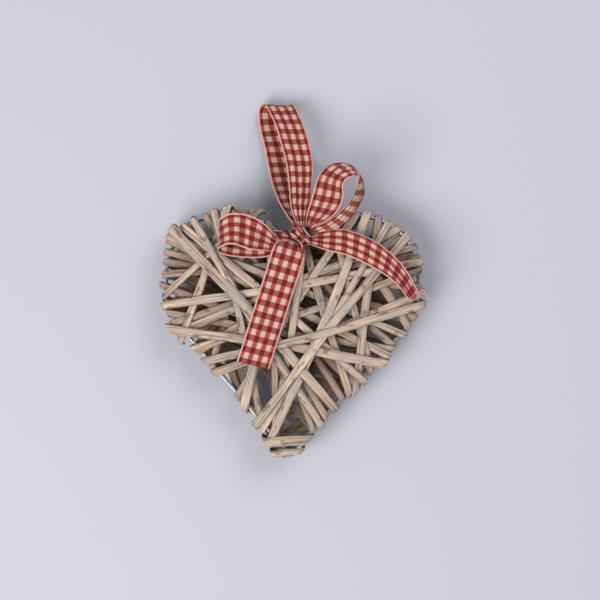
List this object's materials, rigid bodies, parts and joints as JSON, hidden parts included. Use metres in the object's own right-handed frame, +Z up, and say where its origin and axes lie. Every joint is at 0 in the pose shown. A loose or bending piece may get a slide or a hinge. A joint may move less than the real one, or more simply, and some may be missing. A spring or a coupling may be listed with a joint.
{
  "type": "hanging heart ornament",
  "caption": "Flat wire heart wound with split weathered cane, with a gingham ribbon bow and hanging loop at the cleft.",
  "frame": {"origin": "centre of the bounding box, on the surface the heart lies on", "axes": "+X to the right across the heart, +Y from the tip towards the hanging loop, +Z up out of the front face"},
  "size_m": [0.205, 0.2748, 0.06],
  "materials": {
    "wire": "dull galvanised wire",
    "cane": "dry greyed split cane",
    "ribbon": "woven red and cream gingham"
  },
  "bodies": {
    "root": {"wire_frame": "wire", "cane_01": "cane", "cane_02": "cane", "cane_03": "cane", "cane_04": "cane", "cane_05": "cane", "cane_06": "cane", "cane_07": "cane", "cane_08": "cane", "cane_09": "cane", "cane_10": "cane", "cane_11": "cane", "cane_12": "cane", "cane_13": "cane", "cane_14": "cane", "cane_15": "cane", "cane_16": "cane", "cane_17": "cane", "cane_18": "cane", "cane_19": "cane", "cane_20": "cane", "cane_21": "cane", "cane_22": "cane", "cane_23": "cane", "cane_24": "cane", "cane_25": "cane", "cane_26": "cane", "cane_27": "cane", "cane_28": "cane", "cane_29": "cane", "cane_30": "cane", "cane_31": "cane", "cane_32": "cane", "cane_33": "cane", "cane_34": "cane", "cane_35": "cane", "cane_36": "cane", "cane_37": "cane", "cane_38": "cane", "cane_39": "cane", "cane_40": "cane", "cane_41": "cane", "hanging_loop": "ribbon", "bow": "ribbon"}
  },
  "joints": []
}
